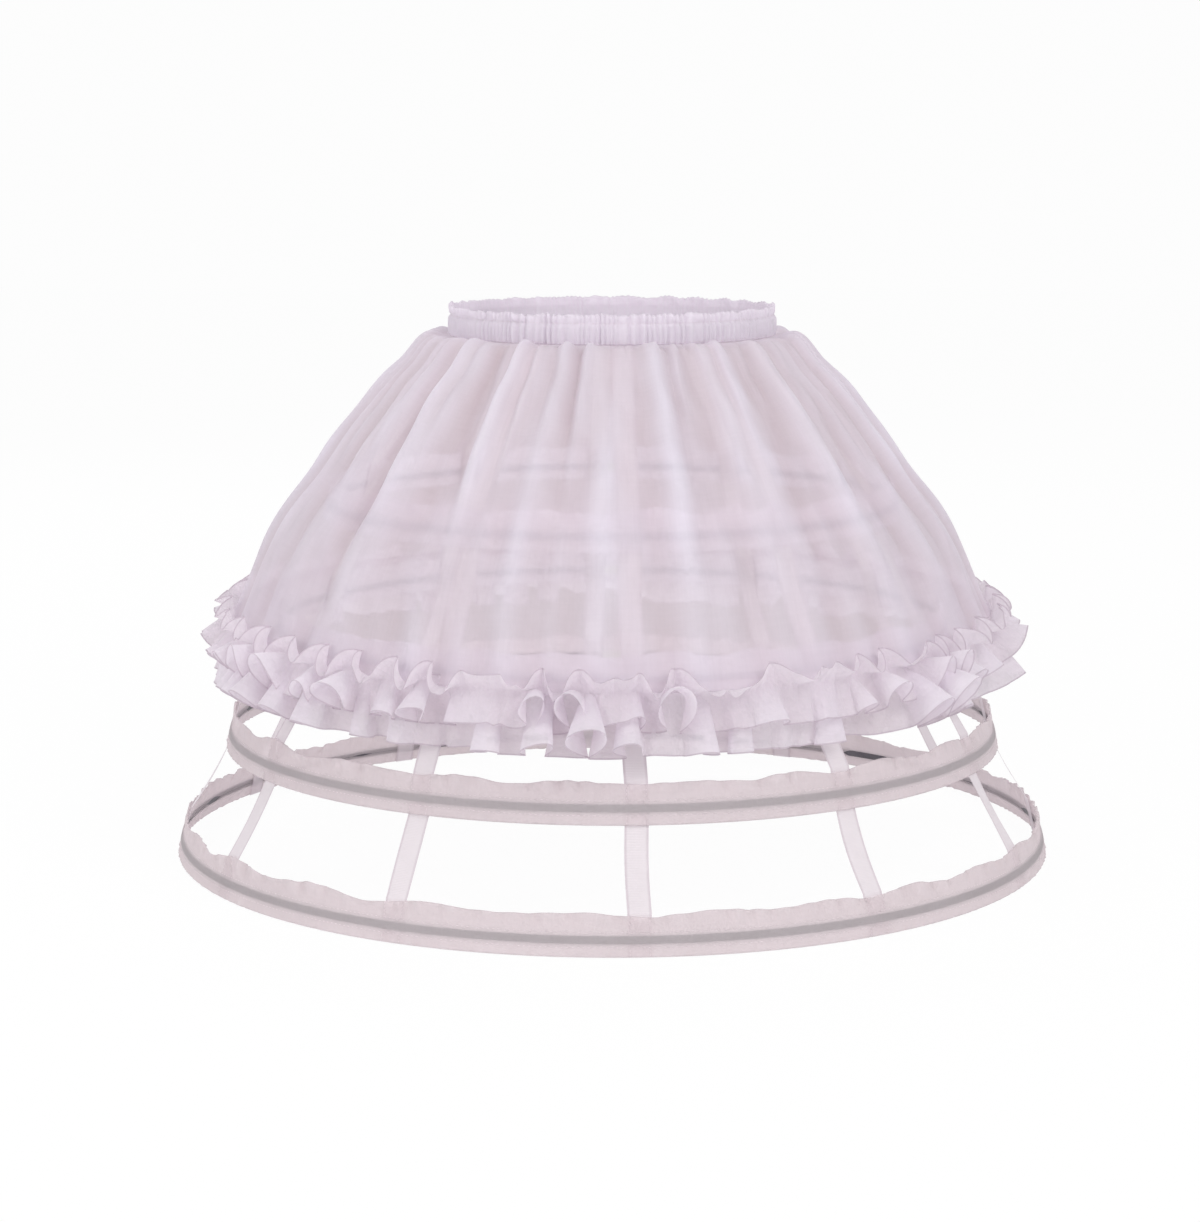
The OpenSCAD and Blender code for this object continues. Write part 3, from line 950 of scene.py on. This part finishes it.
@dataclass
class HangingTape:
    """Ribbon that carries the hoops from the waistband, stitched inside each casing."""

    index: int
    casings: list[HoopCasing]
    width: float = 18.0 * MM
    first_deg: float = 3.0
    step_deg: float = 360 / TAPES
    inside: float = -2.1 * MM
    slip: float = 0.7 * MM
    tack_side: float = 7.4 * MM
    tack_rises: tuple[float, ...] = (-11 * MM, -8 * MM, 7.5 * MM, 10.5 * MM, 13.5 * MM, 16.5 * MM)
    waist_r: float = 132.2 * MM
    waist_z: tuple[float, float] = (435.5 * MM, 431.1 * MM)
    per_span: int = 22
    per_casing: int = 8
    across: int = 8

    def route(self) -> tuple[Array, Array]:
        """Radius and height of the ribbon's middle, and how free it is to turn, from the waist down."""
        lean = math.radians(self.casings[0].lean_deg)
        knots = [(self.waist_r, self.waist_z[0]), (self.waist_r, self.waist_z[1])]
        for casing in sorted(self.casings, key=lambda c: -c.number):
            for rise in (casing.high + self.slip, casing.low + self.slip):
                knots.append((casing.radius - rise * math.sin(lean) + self.inside * math.cos(lean),
                              casing.height + rise * math.cos(lean) + self.inside * math.sin(lean)))
        line, free = [], []
        for n, (a, b) in enumerate(zip(knots, knots[1:])):
            span = n % 2 == 1
            steps = self.per_span if span else self.per_casing
            for t in np.linspace(0, 1, steps, endpoint=False):
                line.append((a[0] + (b[0] - a[0]) * t, a[1] + (b[1] - a[1]) * t))
                free.append(math.sin(math.pi * t) if span else 0.0)
        line.append(knots[-1])
        free.append(0.0)
        return np.array(line), np.array(free)

    @property
    def middle(self) -> float:
        """Angle of the ribbon's middle."""
        return math.radians(self.first_deg + self.step_deg * (self.index - 1))

    def build(self, ribbon: Material) -> None:
        """Builds the ribbon."""
        rng = random.Random(700 + self.index)
        line, free = self.route()
        run = np.r_[0, np.cumsum(np.hypot(*np.diff(line, axis=0).T))]
        twist = math.radians(rng.uniform(-7, 7))
        bow = rng.uniform(0.6, 2.2) * MM
        drift = rng.uniform(-1.2, 1.2) * MM

        def place(u: Array, v: Array) -> tuple[Array, Array]:
            """Runs down the ribbon, with a slight bow and turn between the hoops."""
            side = (v - 0.5) * self.width
            radius = line[:, 0][:, None] - (free * bow)[:, None] + np.sin(twist * free)[:, None] * side
            cup = 0.35 * MM * (np.abs(v - 0.5) * 2) ** 3 * free[:, None]
            turn = self.middle + (side * np.cos(twist * free)[:, None] + (free * drift)[:, None]) / radius
            return on_ring(turn, radius - cup, line[:, 1][:, None]), np.zeros((1, 1))

        flat = (self.width, round(float(run[-1]), 3))
        tape = bent_sheet(f"ribbon_{self.index:02d}", len(line) - 1, self.across, flat, place, closed=False)
        dress(tape, ribbon, "ribbon_tape", f"tape_{self.index:02d}")

    def tack(self, rows: Stitches) -> None:
        """Lays the stitches that hold the ribbon to each casing."""
        for casing in self.casings:
            lean = math.radians(casing.lean_deg)
            for side in (-self.tack_side, self.tack_side):
                turn = np.float64(self.middle + side / casing.radius)
                along, out = ring_axes(turn, rise=0.25)
                up = np.array([-along[1] * math.sin(lean), along[0] * math.sin(lean), math.cos(lean)])
                for rise in self.tack_rises:
                    rows.lay(casing.on_cloth(turn, np.float64(rise)), up, out)


@dataclass
class Studio:
    """Pale floor, soft lamps and the camera at the photograph's viewing angle."""

    camera_at: tuple[float, float, float] = (-0.0103, -2.400, 0.5933)
    pitch_deg: float = 9.36
    focal_px: float = 2869.0
    image_px: float = 1200.0
    floor_size: float = 9.0
    floor_white: float = 0.95
    sky_light: float = 0.59
    sky_seen: float = 0.98
    # painted shade: the floor and backdrop seen through cloth are drawn in this flat grey
    shade: str = "#b3a8ac"  # floor and backdrop as seen through cloth, which keeps the inside dim

    def camera(self) -> None:
        """Makes the camera."""
        lens = bpy.data.cameras.new("camera")
        lens.sensor_fit = "HORIZONTAL"
        lens.sensor_width = 36.0
        lens.lens = self.focal_px / self.image_px * lens.sensor_width
        eye = bpy.data.objects.new("camera", lens)
        eye.location = self.camera_at
        eye.rotation_euler = (math.radians(90 - self.pitch_deg), 0, 0)
        bpy.context.scene.collection.objects.link(eye)
        bpy.context.scene.camera = eye

    def seen(self, tree: Tree) -> tuple[Socket, Socket]:
        """Adds nodes that tell the rays of the eye from the rays that carry light.

        Args:
            tree: the node tree of the floor or the backdrop.

        Returns:
            1 for rays straight from the eye, a gloss or a glass, and 1 for rays through sheer cloth.
        """
        path = add_node(tree, "ShaderNodeLightPath").outputs
        eye = path["Is Camera Ray"]
        bare = add_math(tree, "LESS_THAN", path["Transparent Depth"], 0.5)
        straight = add_math(tree, "MULTIPLY", eye, bare)
        shine = add_math(tree, "MAXIMUM", straight, path["Is Glossy Ray"])
        clear = add_math(tree, "MAXIMUM", shine, path["Is Transmission Ray"])
        return clear, add_math(tree, "SUBTRACT", eye, straight)

    def floor(self) -> None:
        """Makes the floor, white to the eye but for the object's soft shadow, in painted grey shade through
        cloth.
        """
        bm = bmesh.new()
        bmesh.ops.create_grid(bm, x_segments=2, y_segments=2, size=self.floor_size)
        plane = as_object("studio_floor", bm)
        material, tree = new_tree("matt_white_paper")
        clear, veiled = self.seen(tree)
        share = add_math(tree, "MULTIPLY", clear, self.floor_white)
        paper = add_node(tree, "ShaderNodeBsdfDiffuse", {"Color": linear("#fbfbfb")})
        white = add_node(tree, "ShaderNodeEmission", {"Color": linear("#ffffff"), "Strength": 1.0})
        bright = add_veil(tree, share, paper.outputs["BSDF"], white.outputs["Emission"])
        dim = add_node(tree, "ShaderNodeEmission", {"Color": linear(self.shade), "Strength": 1.0})
        both = add_veil(tree, veiled, bright, dim.outputs["Emission"])
        add_node(tree, "ShaderNodeOutputMaterial", {"Surface": both})
        plane.data.materials.append(material)

    def world(self) -> None:
        """Makes a white backdrop that lights the object softly from all round, in painted grey shade through
        cloth.
        """
        world = bpy.data.worlds.new("studio")
        world.use_nodes = True
        tree = world.node_tree
        tree.nodes.clear()
        clear, veiled = self.seen(tree)
        strength = add_range(tree, clear, new=(self.sky_light, self.sky_seen))
        sky = add_node(tree, "ShaderNodeBackground", {"Color": linear("#ffffff"), "Strength": strength})
        dim = add_node(tree, "ShaderNodeBackground", {"Color": linear(self.shade), "Strength": 1.0})
        both = add_veil(tree, veiled, sky.outputs["Background"], dim.outputs["Background"])
        add_node(tree, "ShaderNodeOutputWorld", {"Surface": both})
        bpy.context.scene.world = world

    def lamp(self, name: str, at: tuple[float, float, float], size: float, power: float) -> None:
        """Adds one soft box that faces the object.

        Args:
            name: the lamp's name.
            at: its place in metres.
            size: its side in metres.
            power: its power in watts.
        """
        light = bpy.data.lights.new(name, "AREA")
        light.size = size
        light.energy = power
        box = bpy.data.objects.new(name, light)
        box.location = at
        box.rotation_euler = (Vector((0, 0, 0.25)) - Vector(at)).to_track_quat("-Z", "Y").to_euler()
        bpy.context.scene.collection.objects.link(box)

    def build(self) -> None:
        """Builds the whole studio."""
        self.camera()
        self.floor()
        self.world()
        self.lamp("key_softbox", at=(1.5, -2.0, 2.2), size=1.6, power=34.0)
        self.lamp("fill_softbox", at=(-2.0, -1.6, 1.4), size=1.8, power=21.0)
        self.lamp("back_softbox", at=(-0.6, 2.2, 2.0), size=1.8, power=16.0)
        bpy.context.scene.view_settings.view_transform = "Standard"


# Sheer voile: thin and lilac-white, with pinkish grey painted as shade where folds lie close
SKIRT_VOILE = SheerCloth("polyester_voile", light="#f2ecf7", shade="#dfced5", opacity=0.64, glow=0.25,
                         fold_painted_shade=0.55, fold_opacity=-0.1, crinkle_mm=11.0, crinkle_depth=0.14)
# Frill voile: paler and denser, with painted shade in its flute valleys
FRILL_VOILE = SheerCloth("gathered_polyester_voile", light="#f9f3fb", shade="#e6dbe1", opacity=0.84, glow=0.4,
                         fold_painted_shade=0.3, fold_opacity=0.06, crinkle_mm=8.0, crinkle_depth=0.65)
# Band voile: with painted shade in its gathers
BAND_VOILE = SheerCloth("doubled_polyester_voile", light="#f8f2fa", shade="#e4dae5", opacity=0.92, glow=0.3,
                        fold_painted_shade=0.4, crinkle_mm=6.0, crinkle_depth=0.15)
# Organza: crisper and clearer than the voile, so the bone shows through it; painted shade in its puckers
CASING_ORGANZA = SheerCloth("polyester_organza", light="#f4ebee", shade="#e2d7da", opacity=0.66, glow=0.32,
                            fold_painted_shade=0.35, fold_opacity=0.1, crinkle_mm=10.0, crinkle_depth=0.4)
# The same organza under the skirt: a copy with painted light that makes it whiter, and more opaque there
PAINTED_LIGHT_ORGANZA = replace(CASING_ORGANZA, name="painted_light_polyester_organza", light="#fdf9fe", shade="#f1e9f1",
                          opacity=0.86)
# Nylon-coated spring steel: dull dark grey with a fine rubbed grain
BONE_COAT = SolidFinish("nylon_coated_spring_steel", "#4d4950", "#69656c", grain_mm=0.9, roughness=0.5)
# The same steel under the skirt, with painted light that makes it paler and bluish
PAINTED_LIGHT_BONE_COAT = replace(BONE_COAT, name="painted_light_nylon_coated_spring_steel", base="#a9a7bd", rubbed="#bcbacb")
# Nickel-plated brass: pressed tube with fine drawn lines
SLEEVE_NICKEL = SolidFinish("nickel_plated_brass", "#b9b5ae", "#d8d5d0", grain_mm=0.6, roughness=0.32,
                            metallic=1.0, stretch=(0.1, 1.0, 1.0), bump_mm=0.02)
# Knitted elastic: bright white cords between ribs
WAIST_ELASTIC = SolidFinish("knitted_polyester_elastic", "#f2eff3", "#d9d4dc", grain_mm=1.2, roughness=0.85,
                            stretch=(0.2, 0.2, 1.0), bump_mm=0.3)
# Spun polyester thread: white with a slight twist
SEWING_THREAD = SolidFinish("spun_polyester_thread", "#e9dfe3", "#d9cfd5", grain_mm=0.5, roughness=0.7,
                            bump_mm=0.1)

UPPER_FRILL = Frill(
    tier=Tier.UPPER, seam_r=318.8 * MM, seam_z=202.5 * MM, width=30 * MM, above=18 * MM, tilt_deg=38,
    tilt_spread=42, pin=(-2.5 * MM, 2.0 * MM), droop_deg=44, swing=13 * MM,
    flutes=UnevenFolds(count=50, seed=21, spread=0.52, depth_spread=0.5, sharp=0.3),
    pleats=UnevenFolds(count=170, seed=22, spread=0.35, sharp=0.5),
    ripples=UnevenFolds(count=104, seed=23, spread=0.5, depth_spread=0.6, sharp=0.3), flat=(0.048, 3.6))
LOWER_FRILL = Frill(
    tier=Tier.LOWER, seam_r=315.6 * MM, seam_z=202.0 * MM, width=48 * MM, above=8 * MM, tilt_deg=-27,
    tilt_spread=0, pin=(-9 * MM, 2.0 * MM), droop_deg=74, swing=11 * MM,
    flutes=UnevenFolds(count=50, seed=31, spread=0.52, depth_spread=0.5, sharp=0.2),
    pleats=UnevenFolds(count=170, seed=32, spread=0.35, sharp=0.5),
    ripples=UnevenFolds(count=101, seed=33, spread=0.5, depth_spread=0.6, sharp=0.3), flat=(0.056, 3.3))


def finish_solids() -> None:
    """Gives the bones, sleeves and elastic, which keep their solids, their finishes."""
    bone, pale = BONE_COAT.material(), PAINTED_LIGHT_BONE_COAT.material()
    sleeve, elastic = SLEEVE_NICKEL.material(), WAIST_ELASTIC.material()
    wear = {"waist_elastic": elastic}
    for k in HOOPS:
        # bones under the skirt get the steel copy with painted light
        wear[f"hoop_bone_{k}"] = bone if k in BARE_HOOPS else pale
        wear[f"bone_sleeve_{k}"] = sleeve
    for name, material in wear.items():
        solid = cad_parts[name]
        solid.data.materials.clear()
        solid.data.materials.append(material)
        log.info("%s: finished as %s", name, material.name)


def main() -> None:
    """Builds every piece in order."""
    Studio().build()
    finish_solids()
    thread = SEWING_THREAD.material()
    Waistband().build(BAND_VOILE.material(), thread)
    Overskirt().build(SKIRT_VOILE.material())
    for frill in (UPPER_FRILL, LOWER_FRILL):
        frill.build(FRILL_VOILE)
    organza, covered = CASING_ORGANZA.material(), PAINTED_LIGHT_ORGANZA.material()
    casings = [HoopCasing(k) for k in HOOPS]
    for casing in casings:
        # casings under the skirt get the organza copy with painted light
        casing.build(organza if casing.number in BARE_HOOPS else covered, thread)
    ribbon = RibbonTape().material()
    tacks = Stitches("ribbon_tacks")
    for index in range(1, TAPES + 1):
        tape = HangingTape(index, casings)
        tape.build(ribbon)
        tape.tack(tacks)
    tacks.finish(thread, "ribbon_tape")
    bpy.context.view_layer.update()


if __name__ == "__main__":
    main()
